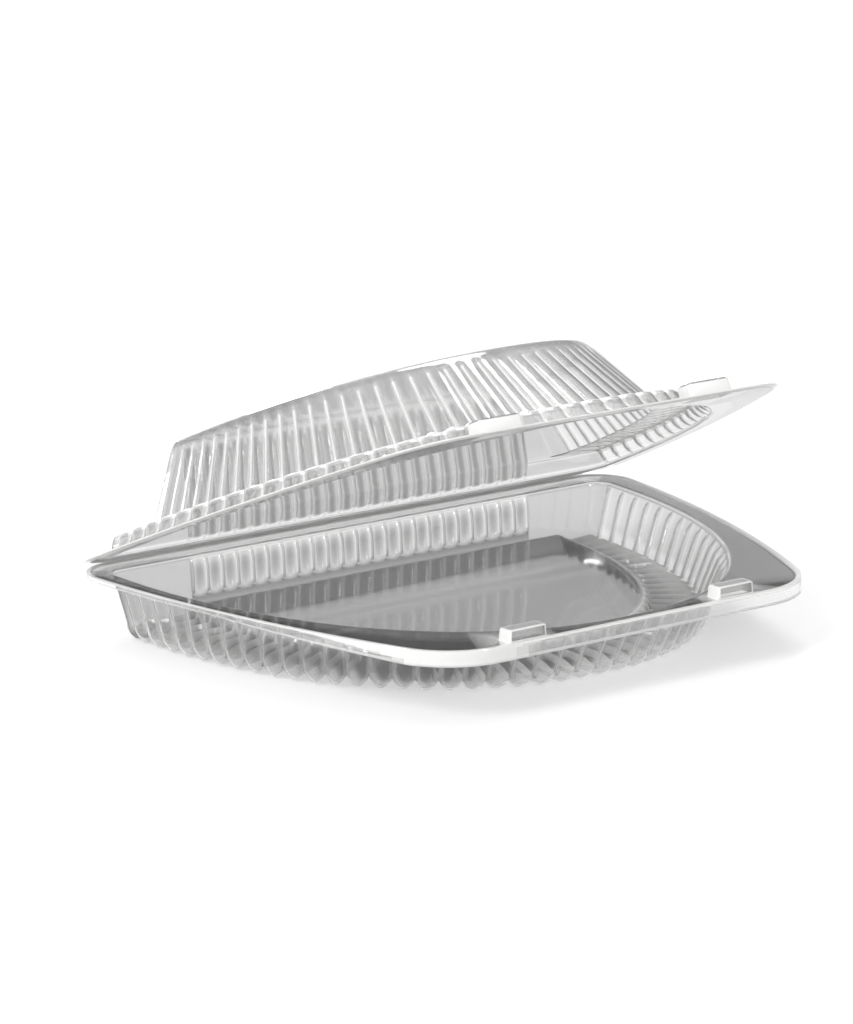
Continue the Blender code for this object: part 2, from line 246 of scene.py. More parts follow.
def ring(
    mesh,
    outline,
    height,
    flute_in=0.0,
    flute_up=0.0,
    rib_in=0.0,
    line=0.0,
    deep=None,
    sharpness=None,
    darkens=1.0,
):
    """A closed loop of vertices. The crests stand in and up, and line is the painted highlight that the loop
    shows all round.

    line is one number, or maps kinds of column to numbers. deep maps kinds to their painted shade on the
    crests and between them, and sharpness to how fast the painted highlight on their crests falls off.
    darkens says how soon the painted shade begins beside a crest.
    """
    painted_highlight_mask = mesh.verts.layers.float["crest"]
    painted_shade_mask = mesh.verts.layers.float["deep"]
    darkness = {**even_shade(0.0), **(deep or {})}
    depths = {"flute": (flute_in, flute_up), "rib": (rib_in, 0.0), "smooth": (0.0, 0.0)}
    inner = {kind: columns(drawn_in(outline, depth[0])) for kind, depth in depths.items()}
    loop = []
    for i, ((x, forward), kind, stand) in enumerate(columns(outline)):
        x_in, forward_in = inner[kind][i][0]
        inward, upward = depths[kind]
        place = (x + (x_in - x) * stand, -(forward + (forward_in - forward) * stand), height + upward * stand)
        vertex = mesh.verts.new(place)
        raised = 1.0 if inward or upward else 0.0
        falls_by = (sharpness or {}).get(kind, PAINTED_HIGHLIGHT_SHARPNESS)
        whiteness = line.get(kind, 0.0) if isinstance(line, dict) else line
        # Painted highlight: white along the loop's line and on the raised crests
        vertex[painted_highlight_mask] = max(whiteness, raised * stand**falls_by)
        # Painted shade, blended from its value on the crests to its value between them
        on_crest, between_crests = darkness[kind]
        vertex[painted_shade_mask] = between_crests + (on_crest - between_crests) * stand**darkens
        loop.append(vertex)
    return loop


def flat_loop(mesh, points, height, line=0.0, deep=0.0):
    """A closed loop of vertices at one height, with one painted highlight and one painted shade."""
    painted_highlight_mask = mesh.verts.layers.float["crest"]
    painted_shade_mask = mesh.verts.layers.float["deep"]
    loop = []
    for x, forward in points:
        vertex = mesh.verts.new((x, -forward, height))
        vertex[painted_highlight_mask] = line
        vertex[painted_shade_mask] = deep
        loop.append(vertex)
    return loop


def band(mesh, first, second, closed=True):
    """Faces between two lines of vertices."""
    last = len(first) if closed else len(first) - 1
    for i in range(last):
        j = (i + 1) % len(first)
        mesh.faces.new((first[i], first[j], second[j], second[i]))


def loft(mesh, loops):
    """Faces from loop to loop, and one face that closes the last loop."""
    for first, second in zip(loops, loops[1:]):
        band(mesh, first, second)
    mesh.faces.new(loops[-1])


# The flange's plan is shared by both halves: straight at the hinge and the front, bowed at the sides.
PACK_WIDTH = 0.240
PACK_DEPTH = 0.1665
SIDE_RADIUS = 0.440
SIDE_CENTRE_BACK = 0.024
SIDE_STEPS = 60
HINGE_CORNER = 0.0146
HINGE_CORNER_STEPS = 12
FRONT_CORNER = 0.0280
FRONT_CORNER_STEPS = 24
FRONT_STEPS = 48
HINGE_GAP = 0.00015
# Painted shade over the flange
FLANGE_PAINTED_SHADE = 0.62
# The strip of flange along the hinge has less painted shade than the rest.
HINGE_STRIP = 0.005
HINGE_STRIP_PAINTED_SHADE = 0.22
RIM_HEIGHT = 0.0005
RIM_WIDTH = 0.0014
RIM_SLOPE = 0.0004
RIM_FADE = 0.0001
# Painted highlights on the rim's foot and step, and painted shade at its foot
RIM_FOOT_PAINTED_HIGHLIGHT = 0.6
RIM_FOOT_PAINTED_SHADE = 0.3
RIM_STEP_PAINTED_HIGHLIGHT = 0.8


def flange_outline(inset):
    """The flange's plan drawn in by an inset, from the hinge's right end round the front to its left end."""
    side_x = PACK_WIDTH / 2 - SIDE_RADIUS
    hinge_forward = HINGE_GAP + HINGE_CORNER
    hinge_rise = hinge_forward + SIDE_CENTRE_BACK
    hinge_x = side_x + math.sqrt((SIDE_RADIUS - HINGE_CORNER) ** 2 - hinge_rise**2)
    front_forward = PACK_DEPTH - FRONT_CORNER
    front_rise = front_forward + SIDE_CENTRE_BACK
    front_x = side_x + math.sqrt((SIDE_RADIUS - FRONT_CORNER) ** 2 - front_rise**2)
    hinge_turn = math.atan2(hinge_rise, hinge_x - side_x)
    front_turn = math.atan2(front_rise, front_x - side_x)
    stretches = (
        (hinge_x, hinge_forward, HINGE_CORNER - inset, -math.pi / 2, hinge_turn, HINGE_CORNER_STEPS),
        (side_x, -SIDE_CENTRE_BACK, SIDE_RADIUS - inset, hinge_turn, front_turn, SIDE_STEPS),
        (front_x, front_forward, FRONT_CORNER - inset, front_turn, math.pi / 2, FRONT_CORNER_STEPS),
    )
    right = arc(*stretches[0])
    for stretch in stretches[1:]:
        right += arc(*stretch)[1:]
    front = [(front_x * (1 - 2 * i / FRONT_STEPS), PACK_DEPTH - inset) for i in range(1, FRONT_STEPS)]
    return right + front + [(-x, forward) for x, forward in reversed(right)]


SNAP_SPACING = 0.0890
SNAP_LENGTH = 0.0152
SNAP_DEPTH = 0.0060
SNAP_HEIGHT = 0.0042
SNAP_DRAFT = 0.0004
SNAP_FOOT_SHARE = 0.12
SNAP_CORNER = 0.0010
SNAP_CORNER_STEPS = 4
SNAP_SWELL = 0.0006
SNAP_FRONT_SHARE = 1 / 6
SNAP_SETBACK = 0.0004
SNAP_RECESS_MARGIN = 0.0009
SNAP_RECESS = 0.0006
SNAP_RECESS_PAINTED_SHADE = 0.15
SNAP_SIDE_PAINTED_HIGHLIGHT = 0.8
# The tray's boxes and the lid's sockets: (painted highlight on the cap, painted highlight on its edge,
# painted shade on its edge)
BOX_PAINTED_LIGHT = (0.3, 1.0, 0.0)
SOCKET_PAINTED_LIGHT = (0.9, 0.0, 0.8)


def snap_outline(centre_x, grow, draw_in):
    """The plan of a snap box, with small rounded corners."""
    half = SNAP_LENGTH / 2 + grow - draw_in
    front = PACK_DEPTH - RIM_WIDTH - RIM_SLOPE - SNAP_SETBACK + grow * SNAP_FRONT_SHARE - draw_in
    back = PACK_DEPTH - RIM_WIDTH - RIM_SLOPE - SNAP_SETBACK - SNAP_DEPTH - grow + draw_in
    x, radius = half - SNAP_CORNER, SNAP_CORNER
    low, high, quarter = back + radius, front - radius, math.pi / 2
    corners = ((x, low, -quarter), (x, high, 0.0), (-x, high, quarter), (-x, low, 2 * quarter))
    outline = []
    for corner_x, forward, start in corners:
        outline += arc(centre_x + corner_x, forward, radius, start, start + quarter, SNAP_CORNER_STEPS)
    return outline


def snap_box(mesh, centre_x, level, height, grow, recessed):
    """A hollow box raised from the flange, with painted highlights on its sides. Returns the loop where it
    meets the flange.

    The tray's boxes have a shallow recess in front with painted shade, and the lid's sockets painted shade on
    the edge round the cap.
    """
    cap_white, edge_white, edge_deep = BOX_PAINTED_LIGHT if recessed else SOCKET_PAINTED_LIGHT
    # Rows up the box: (how many drafts it is drawn in, height, painted highlight, painted shade)
    rows = (
        (0.0, level, 1.0, 0.0),
        (0.5, level + height * SNAP_FOOT_SHARE, SNAP_SIDE_PAINTED_HIGHLIGHT, 0.0),
        (1.0, level + height - SNAP_DRAFT, SNAP_SIDE_PAINTED_HIGHLIGHT, 0.0),
        (2.0, level + height, edge_white, edge_deep),
        (4.0, level + height, cap_white, 0.0),
    )
    loops = []
    for drafts, rise, white, deep in rows:
        outline = snap_outline(centre_x, grow, SNAP_DRAFT * drafts)
        loops.append(flat_loop(mesh, outline, rise, white, deep))
    loft(mesh, loops)
    if recessed:
        front_starts = 2 * (SNAP_CORNER_STEPS + 1) - 1
        corners = {loop[i] for loop in loops[1:3] for i in (front_starts, front_starts + 1)}
        front = next(face for face in loops[1][front_starts].link_faces if corners == set(face.verts))
        bmesh.ops.inset_individual(mesh, faces=[front], thickness=SNAP_RECESS_MARGIN, use_even_offset=True)
        # The recess loses its painted highlight and takes painted shade.
        for vertex in front.verts:
            vertex.co.y += SNAP_RECESS
            vertex[mesh.verts.layers.float["crest"]] = 0.0
            vertex[mesh.verts.layers.float["deep"]] = SNAP_RECESS_PAINTED_SHADE
    return loops[0]


def closed_edges(mesh, loop):
    """The edges round a closed loop, made where they are missing."""
    pairs = zip(loop, loop[1:] + loop[:1])
    return [mesh.edges.get(pair) or mesh.edges.new(pair) for pair in pairs]


def flange(mesh, level, mouth, box_height, grow, recessed, deep):
    """The flange round the mouth, its raised rim with painted highlights and its snap boxes. Returns the
    rim's outer edge.
    """
    # The flange carries painted shade, less along the hinge, and the rim's foot, step and edge painted
    # highlights.
    inner = flat_loop(mesh, flange_outline(RIM_WIDTH + RIM_SLOPE + RIM_FADE), level, 0.0, deep)
    for vertex in inner:
        if vertex.co.y > -HINGE_STRIP:
            vertex[mesh.verts.layers.float["deep"]] = HINGE_STRIP_PAINTED_SHADE
    foot = flat_loop(mesh, flange_outline(RIM_WIDTH + RIM_SLOPE), level, RIM_FOOT_PAINTED_HIGHLIGHT, RIM_FOOT_PAINTED_SHADE)
    step = flat_loop(mesh, flange_outline(RIM_WIDTH), level + RIM_HEIGHT, RIM_STEP_PAINTED_HIGHLIGHT)
    edge = flat_loop(mesh, flange_outline(0.0), level + RIM_HEIGHT, 1.0)
    band(mesh, inner, foot)
    band(mesh, foot, step)
    band(mesh, step, edge)
    loops = [inner, mouth]
    for side in (-1, 1):
        loops.append(snap_box(mesh, side * SNAP_SPACING / 2, level, box_height, grow, recessed))
    edges = [edge for loop in loops for edge in closed_edges(mesh, loop)]
    bmesh.ops.triangle_fill(mesh, use_beauty=True, use_dissolve=False, edges=edges)
    return edge


def formed_mesh():
    """An empty mesh with two masks of painted light: highlights on its crests, and shade in its deep places.
    """
    mesh = bmesh.new()
    mesh.verts.layers.float.new("crest")
    mesh.verts.layers.float.new("deep")
    return mesh


FOLD_ANGLE = math.radians(50)


def formed_object(name, mesh, colours, cavity_up):
    """An object from the cavity face of a formed half. The sheet's thickness lies on the other side.

    The faces with more painted highlight take a milkier copy of the plastic, so that the highlight shows
    white.
    """
    painted_highlight_mask = mesh.verts.layers.float["crest"]
    for face in mesh.faces:
        whiteness = sum(vertex[painted_highlight_mask] for vertex in face.verts) / len(face.verts)
        face.material_index = min(int(whiteness * len(CLEARNESS_BY_PAINTED_HIGHLIGHT)), len(CLEARNESS_BY_PAINTED_HIGHLIGHT) - 1)
    bmesh.ops.recalc_face_normals(mesh, faces=mesh.faces)
    widest = max(mesh.faces, key=lambda face: abs(face.normal.z) * face.calc_area())
    if (widest.normal.z > 0) != cavity_up:
        bmesh.ops.reverse_faces(mesh, faces=mesh.faces)
    data = bpy.data.meshes.new(name)
    mesh.to_mesh(data)
    mesh.free()
    # One copy of the plastic for each step of painted highlight
    for step, clearness in enumerate(CLEARNESS_BY_PAINTED_HIGHLIGHT):
        data.materials.append(clear_sheet(f"{name}_sheet_{step}", *colours, clearness))
    data.shade_smooth()
    data.set_sharp_from_angle(angle=FOLD_ANGLE)
    made = bpy.data.objects.new(name, data)
    bpy.context.scene.collection.objects.link(made)
    thickness = made.modifiers.new("sheet thickness", "SOLIDIFY")
    thickness.thickness = SHEET_THICKNESS
    thickness.offset = -1
    return made


SKIRT_FRONT = 0.0053
SKIRT_SIDE = 0.0016
SKIRT_FLARE = 0.0004
SKIRT_GROWS_FROM = 0.075
SKIRT_FULL_AT = 0.150
# A painted reflection whitens the skirt where it turns the front left corner. These lengths run along the
# rim, from the middle of the front.
CORNER_REFLECTION_FROM = 0.0400
CORNER_REFLECTION_TO = 0.0880
CORNER_REFLECTION_WEDGE = 0.0600
CORNER_REFLECTION_FADE = 0.0140
# Rows down the skirt: (share of the drop, share of the flare, painted highlight)
SKIRT_ROWS = (
    (0.12, 0.5, 0.9),
    (0.24, 0.6, 0.0),
    (0.38, 0.6, 0.0),
    (0.52, 0.6, 0.0),
    (0.66, 0.7, 0.0),
    (0.82, 0.7, 0.0),
    (1.0, 1.4, 1.0),
)


def skirt(mesh, edge):
    """The lip that turns down from the rim, shallow along the sides and deep across the front, with painted
    highlights and a painted reflection.
    """
    painted_highlight_mask = mesh.verts.layers.float["crest"]
    lengths = [0.0]
    for first, second in zip(edge, edge[1:]):
        lengths.append(lengths[-1] + (second.co - first.co).length)
    upper = edge
    for down, out, white in SKIRT_ROWS:
        lower = []
        for vertex, length in zip(edge, lengths):
            forward = -vertex.co.y
            share = (forward - SKIRT_GROWS_FROM) / (SKIRT_FULL_AT - SKIRT_GROWS_FROM)
            drop = SKIRT_SIDE + (SKIRT_FRONT - SKIRT_SIDE) * min(max(share, 0.0), 1.0)
            outward = Vector((vertex.co.x, vertex.co.y + PACK_DEPTH / 2, 0)).normalized()
            if forward > PACK_DEPTH - FRONT_CORNER / 2:
                outward = Vector((0, -1, 0))
            place = vertex.co + outward * (SKIRT_FLARE * out * drop / SKIRT_FRONT)
            below = mesh.verts.new((place.x, place.y, place.z - drop * down))
            # The painted reflection at the front left corner, a wedge that fades at its ends
            from_middle = length - lengths[-1] / 2
            last = CORNER_REFLECTION_TO + CORNER_REFLECTION_WEDGE * (1 - down)
            at_corner = min(from_middle - CORNER_REFLECTION_FROM, last - from_middle) / CORNER_REFLECTION_FADE
            below[painted_highlight_mask] = min(max(white, at_corner), 1.0)
            lower.append(below)
        band(mesh, upper, lower, closed=False)
        upper = lower


def flange_shades(flange_deep):
    """The painted shade of the flange round a mouth, which is lighter along the hinge."""
    return {**even_shade(flange_deep), "rib": (HINGE_STRIP_PAINTED_SHADE, HINGE_STRIP_PAINTED_SHADE)}


def lip(mesh, level, rows, shades):
    """A mouth's lip, from rows of (how far outside the mouth, rise, painted highlight, if it has painted
    shade).
    """
    loops = []
    for outside, rise, white, shaded in rows:
        deep = shades if shaded else None
        loops.append(ring(mesh, drawn_in(MOUTH, -outside), level + rise, line=white, deep=deep))
    return loops


# Rows over the tray's lip, and its foot: the whites are painted highlights and the shades painted shade
TRAY_LIP_ROWS = ((0.0013, 0.0, 0.0, True), (0.0008, 0.0, 0.3, True), (0.0003, -0.0002, 0.7, False))
TRAY_LIP_DEPTH = 0.0011
TRAY_LIP_PAINTED_HIGHLIGHT = 0.2
# Rows down the wall: (depth, share of the flutes' depth, share of the ribs' depth,
# painted shade between the ribs, painted shade on the ribs)
TRAY_WALL_ROWS = (
    (0.0018, 0.15, 0.10, 0.35, 0.20),
    (0.0028, 0.60, 0.60, 0.45, 0.05),
    (0.0040, 0.95, 0.95, 0.60, 0.0),
    (0.0062, 1.0, 1.0, 0.70, 0.0),
    (0.0094, 1.0, 1.0, 0.62, 0.0),
    (0.0120, 1.0, 1.0, 0.50, 0.1),
    (0.0129, 1.0, 0.8, 0.40, 0.7),
    (0.0137, 1.0, 0.4, 0.40, 0.95),
    (0.0146, 1.0, 0.0, 0.60, 0.95),
    (0.0153, 1.0, 0.0, 0.80, 0.80),
)
# Painted shade beside the flutes' crests and over the plain corners, as (on the crests, between them)
TRAY_WALL_SHADES = {"flute": (0.0, 0.28), "smooth": (0.0, 0.42)}
# The toes turn from the wall to the floor, and take this share of the way in from the mouth.
FOOT_SHARE = 0.45
FOOT_RADIUS = 0.0060
TOE_STEPS = 4
# Painted shade on the toes, and a painted highlight along their fold into the floor
TOE_SHADES = {"flute": (0.0, 0.0), "rib": (0.6, 0.6), "smooth": (0.4, 0.4)}
TOE_FOLD_PAINTED_HIGHLIGHT = {"rib": 0.8, "smooth": 0.8}
# Rows across the channels to the panel: (share of the way, painted shade between the flutes)
CHANNEL_ROWS = ((0.06, 0.0), (0.3, 0.15), (0.65, 0.8), (1.0, 1.1))
# Painted shade in the channels, how fast the crests' painted highlight falls off, and how soon the shade
# begins
CHANNEL_SHADES = {"rib": (0.1, 0.1), "smooth": (0.2, 0.2)}
CHANNEL_SHARPNESS = {"flute": 6.0}
CHANNEL_DARKENS = 4.0
FLOOR_FLUTE_DEPTH = 0.0062
PANEL_DEPTH = 0.0150
PANEL_SLOPE = 0.0024
# How far in from its outline the panel's low edge, edge, inner edge and field lie, in slopes
PANEL_SHARES = (0.5, 0.9, 1.2, 1.6)
PANEL_LOW_SHARE = 0.6
PANEL_FLUTE_GAP = 0.0006
PANEL_EDGE_DROP = 0.0004
# A painted highlight along the panel's edge, and painted shade over the panel
PANEL_EDGE_PAINTED_HIGHLIGHT = 0.75
PANEL_PAINTED_SHADE = 0.19


def wall_at(depth, straight):
    """The outline of the tray's wall at a depth above the toes, where straight is how deep the wall goes."""
    return between(MOUTH, TRAY_FOOT, (1 - FOOT_SHARE) * depth / straight)


def tray_loops(mesh):
    """The tray's loops, from the mouth down the ribbed and fluted wall, over the toes and up to the panel."""
    floor_height = SHEET_THICKNESS + tray_low.z - (hinge.z - RIM_HEIGHT - HINGE_GAP)
    straight = -floor_height - FOOT_RADIUS
    plain = flange_shades(FLANGE_PAINTED_SHADE)
    loops = lip(mesh, 0.0, TRAY_LIP_ROWS, plain)
    lip_foot = wall_at(TRAY_LIP_DEPTH, straight)
    loops.append(ring(mesh, lip_foot, -TRAY_LIP_DEPTH, line=TRAY_LIP_PAINTED_HIGHLIGHT, deep=plain))
    for depth, fluted, ribbed, dark, rib_dark in TRAY_WALL_ROWS:
        stands = {"flute_in": FLUTE_DEPTH * fluted, "rib_in": RIB_DEPTH * ribbed}
        shades = {**TRAY_WALL_SHADES, "rib": (rib_dark, dark)}
        loops.append(ring(mesh, wall_at(depth, straight), -depth, deep=shades, **stands))
    wall_foot = wall_at(straight, straight)
    for step in range(TOE_STEPS + 1):
        turn = math.pi / 2 * step / TOE_STEPS
        outline = between(wall_foot, TRAY_FOOT, 1 - math.cos(turn))
        height = floor_height + FOOT_RADIUS * (1 - math.sin(turn))
        stands = {"flute_in": FLUTE_DEPTH, "flute_up": FLOOR_FLUTE_DEPTH * math.sin(turn) ** 2}
        fold = TOE_FOLD_PAINTED_HIGHLIGHT if step == TOE_STEPS else 0.0
        loops.append(ring(mesh, outline, height, line=fold, deep=TOE_SHADES, **stands))
    for share, dark in CHANNEL_ROWS:
        channels = {**CHANNEL_SHADES, "flute": (0.0, dark)}
        outline = between(TRAY_FOOT, TRAY_PANEL, share)
        inward = FLUTE_DEPTH * (1 - share)
        stands = {"flute_in": inward, "flute_up": FLOOR_FLUTE_DEPTH, "sharpness": CHANNEL_SHARPNESS}
        loops.append(ring(mesh, outline, floor_height, deep=channels, darkens=CHANNEL_DARKENS, **stands))
    rise = -PANEL_DEPTH - floor_height
    flutes_rise = rise * (1 - PANEL_LOW_SHARE) - PANEL_FLUTE_GAP
    panel = even_shade(PANEL_PAINTED_SHADE)
    low_edge, edge, inner_edge, field = (drawn_in(TRAY_PANEL, PANEL_SLOPE * share) for share in PANEL_SHARES)
    # The panel's edge and inner edge carry painted highlights, and the panel painted shade
    loops += [
        ring(mesh, low_edge, floor_height + rise * PANEL_LOW_SHARE, flute_up=flutes_rise, deep=channels),
        ring(mesh, edge, -PANEL_DEPTH - PANEL_EDGE_DROP, line=PANEL_EDGE_PAINTED_HIGHLIGHT, deep=panel),
        ring(mesh, inner_edge, -PANEL_DEPTH, line=1.0, deep=panel),
        ring(mesh, field, -PANEL_DEPTH, deep=panel),
    ]
    return loops


tray_mesh = formed_mesh()
loops = tray_loops(tray_mesh)
loft(tray_mesh, loops)
skirt(tray_mesh, flange(tray_mesh, 0.0, loops[0], SNAP_HEIGHT, SNAP_SWELL, True, FLANGE_PAINTED_SHADE))
tray_shell = formed_object("tray_shell", tray_mesh, TRAY_TINT_AND_PAINTED_SHADE, cavity_up=True)
tray_shell.data.transform(Matrix.Translation((0, hinge.y, hinge.z - RIM_HEIGHT - HINGE_GAP)))
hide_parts("base_tray")
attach(tray_shell, "base")


# The lid
# The deeper half of the same sheet: a fluted dome with a low scalloped step, ribs along the hinge, a
# chamfered flat top, and sockets over the tray's snap boxes. It swings on the living hinge, open here.

# The lid's thin tint, and the painted shade colour of its deep places
LID_TINT_AND_PAINTED_SHADE = ((0.94, 0.94, 0.94), (0.12, 0.12, 0.12))
LID_WALL = (0.0912, 0.0080, 0.1340, 0.0124, 0.0060)
LID_TOP = (0.0790, 0.0100, 0.1100, 0.0175, 0.0040)
OPENING_ANGLE = math.radians(24)
DOME_HEIGHT = 0.0352
DOME_FLUTE_DEPTH = 0.0013
SOCKET_CLEARANCE = 0.0012
# Painted shade over the lid's flange, and how fast the painted highlight falls off beside the ribs
LID_FLANGE_PAINTED_SHADE = 0.72
LID_SHARPNESS = {"rib": 1.3}
# Rows over the lid's lip: the whites are painted highlights
LID_LIP_ROWS = (
    (0.0013, 0.0, 0.0, True),
    (0.0008, 0.0, 0.2, True),
    (0.0002, 0.0003, 0.6, False),
    (0.0, 0.0012, 0.1, False),
)
STEP_HEIGHT = 0.0065
STEP_INSET = 0.0022
STEP_RISE = 0.0006
# Painted shade on the step, as (on the crests, between them)
STEP_SHADES = {"flute": (0.1, 0.06), "rib": (0.0, 0.78), "smooth": (0.40, 0.40)}
# Rows up the step: (height, share of the flutes' and the ribs' depth)
STEP_ROWS = ((0.0022, 0.5), (0.0036, 1.0), (0.0052, 1.0))
# Rows over the step's edge: (how far past the step's inset, how far below its top, painted highlight on the
# flutes, painted highlight on the plain sheet)
STEP_EDGE_ROWS = ((0.0004, 0.0004, 0.85, 0.4), (0.0014, 0.0, 0.8, 0.3))
# Rows up the wall: (share of its height, share of the flutes' and the ribs' depth)
LID_WALL_ROWS = ((0.0, 1.0), (0.08, 1.0), (0.35, 1.0), (0.65, 0.9), (0.86, 0.6), (0.94, 0.25), (0.985, 0.0))
# Painted shade on the wall, as (on the crests, between them)
LID_WALL_SHADES = {"flute": (0.0, 0.12), "rib": (0.0, 0.78), "smooth": (0.40, 0.40)}
TOP_CHAMFER = 0.0032
# Rows over the chamfer: (share of the turn, painted highlight)
TOP_ROWS = ((0.25, 0.0), (0.5, 0.0), (0.75, 0.9), (1.0, 0.8))
TOP_FIELD_SHARE = 1.3
# Painted shade over the flat top
TOP_PAINTED_SHADE = 0.28


def step_outline(inset, height):
    """The step's outline at a height. Its hinge side runs straight up into the ribbed wall."""
    half_width, centre, reach, back, corner = drawn_in(MOUTH, inset)
    back = MOUTH[3] + (LID_WALL[3] - MOUTH[3]) * height / (STEP_HEIGHT + STEP_RISE)
    return (half_width, centre, reach, back, corner)


def lid_loops(mesh, level):
    """The dome's loops, from the mouth up the scalloped step and the fluted wall to the flat top."""
    loops = lip(mesh, level, LID_LIP_ROWS, flange_shades(LID_FLANGE_PAINTED_SHADE))
    for height, share in STEP_ROWS:
        outline = step_outline(STEP_INSET * height / STEP_HEIGHT, height)
        stands = {"flute_in": FLUTE_DEPTH * share, "rib_in": RIB_DEPTH * share, "sharpness": LID_SHARPNESS}
        loops.append(ring(mesh, outline, level + height, deep=STEP_SHADES, **stands))
    stands = {"flute_in": FLUTE_DEPTH, "rib_in": RIB_DEPTH, "sharpness": LID_SHARPNESS}
    for past, below, flute_white, plain_white in STEP_EDGE_ROWS:
        outline = step_outline(STEP_INSET + past, STEP_HEIGHT - below)
        height = level + STEP_HEIGHT - below
        whites = {"flute": flute_white, "smooth": plain_white}
        loops.append(ring(mesh, outline, height, line=whites, deep=STEP_SHADES, **stands))
    wall_low = level + STEP_HEIGHT + STEP_RISE
    top_low = level + DOME_HEIGHT - TOP_CHAMFER
    for share, fluted in LID_WALL_ROWS:
        outline = between(LID_WALL, LID_TOP, share)
        height = wall_low + (top_low - wall_low) * share
        depths = {"flute_in": DOME_FLUTE_DEPTH * fluted, "rib_in": RIB_DEPTH * fluted}
        loops.append(ring(mesh, outline, height, deep=LID_WALL_SHADES, sharpness=LID_SHARPNESS, **depths))
    top = level + DOME_HEIGHT - SHEET_THICKNESS
    top_shades = even_shade(TOP_PAINTED_SHADE)
    for turn, white in TOP_ROWS:
        outline = drawn_in(LID_TOP, TOP_CHAMFER * turn)
        height = top_low + (top - top_low) * math.sin(turn * math.pi / 2)
        loops.append(ring(mesh, outline, height, line=white, deep=top_shades))
    loops.append(ring(mesh, drawn_in(LID_TOP, TOP_CHAMFER * TOP_FIELD_SHARE), top, deep=top_shades))
    return loops


lid_mesh = formed_mesh()
lid_level = HINGE_GAP - RIM_HEIGHT
loops = lid_loops(lid_mesh, lid_level)
loft(lid_mesh, loops)
socket_height = SNAP_HEIGHT + SOCKET_CLEARANCE
flange(lid_mesh, lid_level, loops[0], socket_height, SOCKET_CLEARANCE, False, LID_FLANGE_PAINTED_SHADE)
lid_shell = formed_object("lid_shell", lid_mesh, LID_TINT_AND_PAINTED_SHADE, cavity_up=False)
lid_shell.data.transform(Matrix.Translation(hinge) @ Matrix.Rotation(-OPENING_ANGLE, 4, "X"))
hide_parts("lid")
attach(lid_shell, "lid")


# The living hinge
# The same sheet, pressed to a thin bead that joins the two rims along the straight side. It bends as the lid
# turns, so it is its own mesh here, blended from the tray to the lid.

BEAD_RADIUS = 0.0016
BEAD_THICKNESS = 0.00025
BEAD_END_INSET = 0.0155
BEAD_COLUMNS = 60
BEAD_STEPS = 8
BEAD_END_ANGLE = 78
BEAD_SHARP_ANGLE = math.radians(60)


def hinge_bead(mesh, radius):
    """Rows of vertices round the back of the hinge axis, from the tray's rim up to the lid's rim, with
    painted highlights.
    """
    painted_highlight_mask = mesh.verts.layers.float["crest"]
    half = PACK_WIDTH / 2 - BEAD_END_INSET
    start, end = math.radians(-BEAD_END_ANGLE), math.radians(BEAD_END_ANGLE) - OPENING_ANGLE / 2
    rows = []
    for i in range(BEAD_STEPS + 1):
        turn = start + (end - start) * i / BEAD_STEPS
        row = []
        for j in range(BEAD_COLUMNS + 1):
            x = -half + 2 * half * j / BEAD_COLUMNS
            vertex = mesh.verts.new((x, hinge.y + radius * math.cos(turn), hinge.z + radius * math.sin(turn)))
            # Painted highlights along the bead, on all but its middle row
            vertex[painted_highlight_mask] = 0.0 if i == BEAD_STEPS // 2 else 1.0
            row.append(vertex)
        rows.append(row)
    return rows


bead_mesh = formed_mesh()
outer = hinge_bead(bead_mesh, BEAD_RADIUS)
inner = hinge_bead(bead_mesh, BEAD_RADIUS - BEAD_THICKNESS)
for rows in (outer, inner):
    for lower, upper in zip(rows, rows[1:]):
        band(bead_mesh, lower, upper, closed=False)
for i in (0, -1):
    band(bead_mesh, outer[i], inner[i], closed=False)
    band(bead_mesh, [row[i] for row in outer], [row[i] for row in inner], closed=False)
bmesh.ops.recalc_face_normals(bead_mesh, faces=bead_mesh.faces)
bead_data = bpy.data.meshes.new("hinge_bead")
bead_mesh.to_mesh(bead_data)
bead_mesh.free()
# The bead takes the milkiest copy of the plastic, to show its painted highlights white
bead_data.materials.append(clear_sheet("hinge_bead_sheet", *TRAY_TINT_AND_PAINTED_SHADE, CLEARNESS_BY_PAINTED_HIGHLIGHT[-1]))
bead_data.shade_smooth()
bead_data.set_sharp_from_angle(angle=BEAD_SHARP_ANGLE)
bead = bpy.data.objects.new("hinge_bead", bead_data)
bpy.context.scene.collection.objects.link(bead)
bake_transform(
    bead,
    "base",
    "lid",
    start=(0, hinge.y, hinge.z - BEAD_RADIUS * 0.8),
    end=(0, hinge.y, hinge.z + BEAD_RADIUS * 0.8),
)


# The floor
# A plain pale table top under the pack. It keeps the pack's soft shadow, and glows a little so that it shows
# almost white.

FLOOR_SIZE = 6.0
FLOOR_DROP = 0.0005
FLOOR_COLOUR = (0.47, 0.47, 0.47)
FLOOR_GLOW = 0.52


def seen_rays(nodes, links):
    """1 for what the camera sees, straight or in a reflection or through clear plastic, and 0 for light."""
    path = nodes.new("ShaderNodeLightPath")
    seen = path.outputs["Is Camera Ray"]
    for ray in ("Is Glossy Ray", "Is Transmission Ray"):
        either = nodes.new("ShaderNodeMath")
        either.operation = "MAXIMUM"
        links.new(seen, either.inputs[0])
        links.new(path.outputs[ray], either.inputs[1])
        seen = either.outputs[0]
    return seen


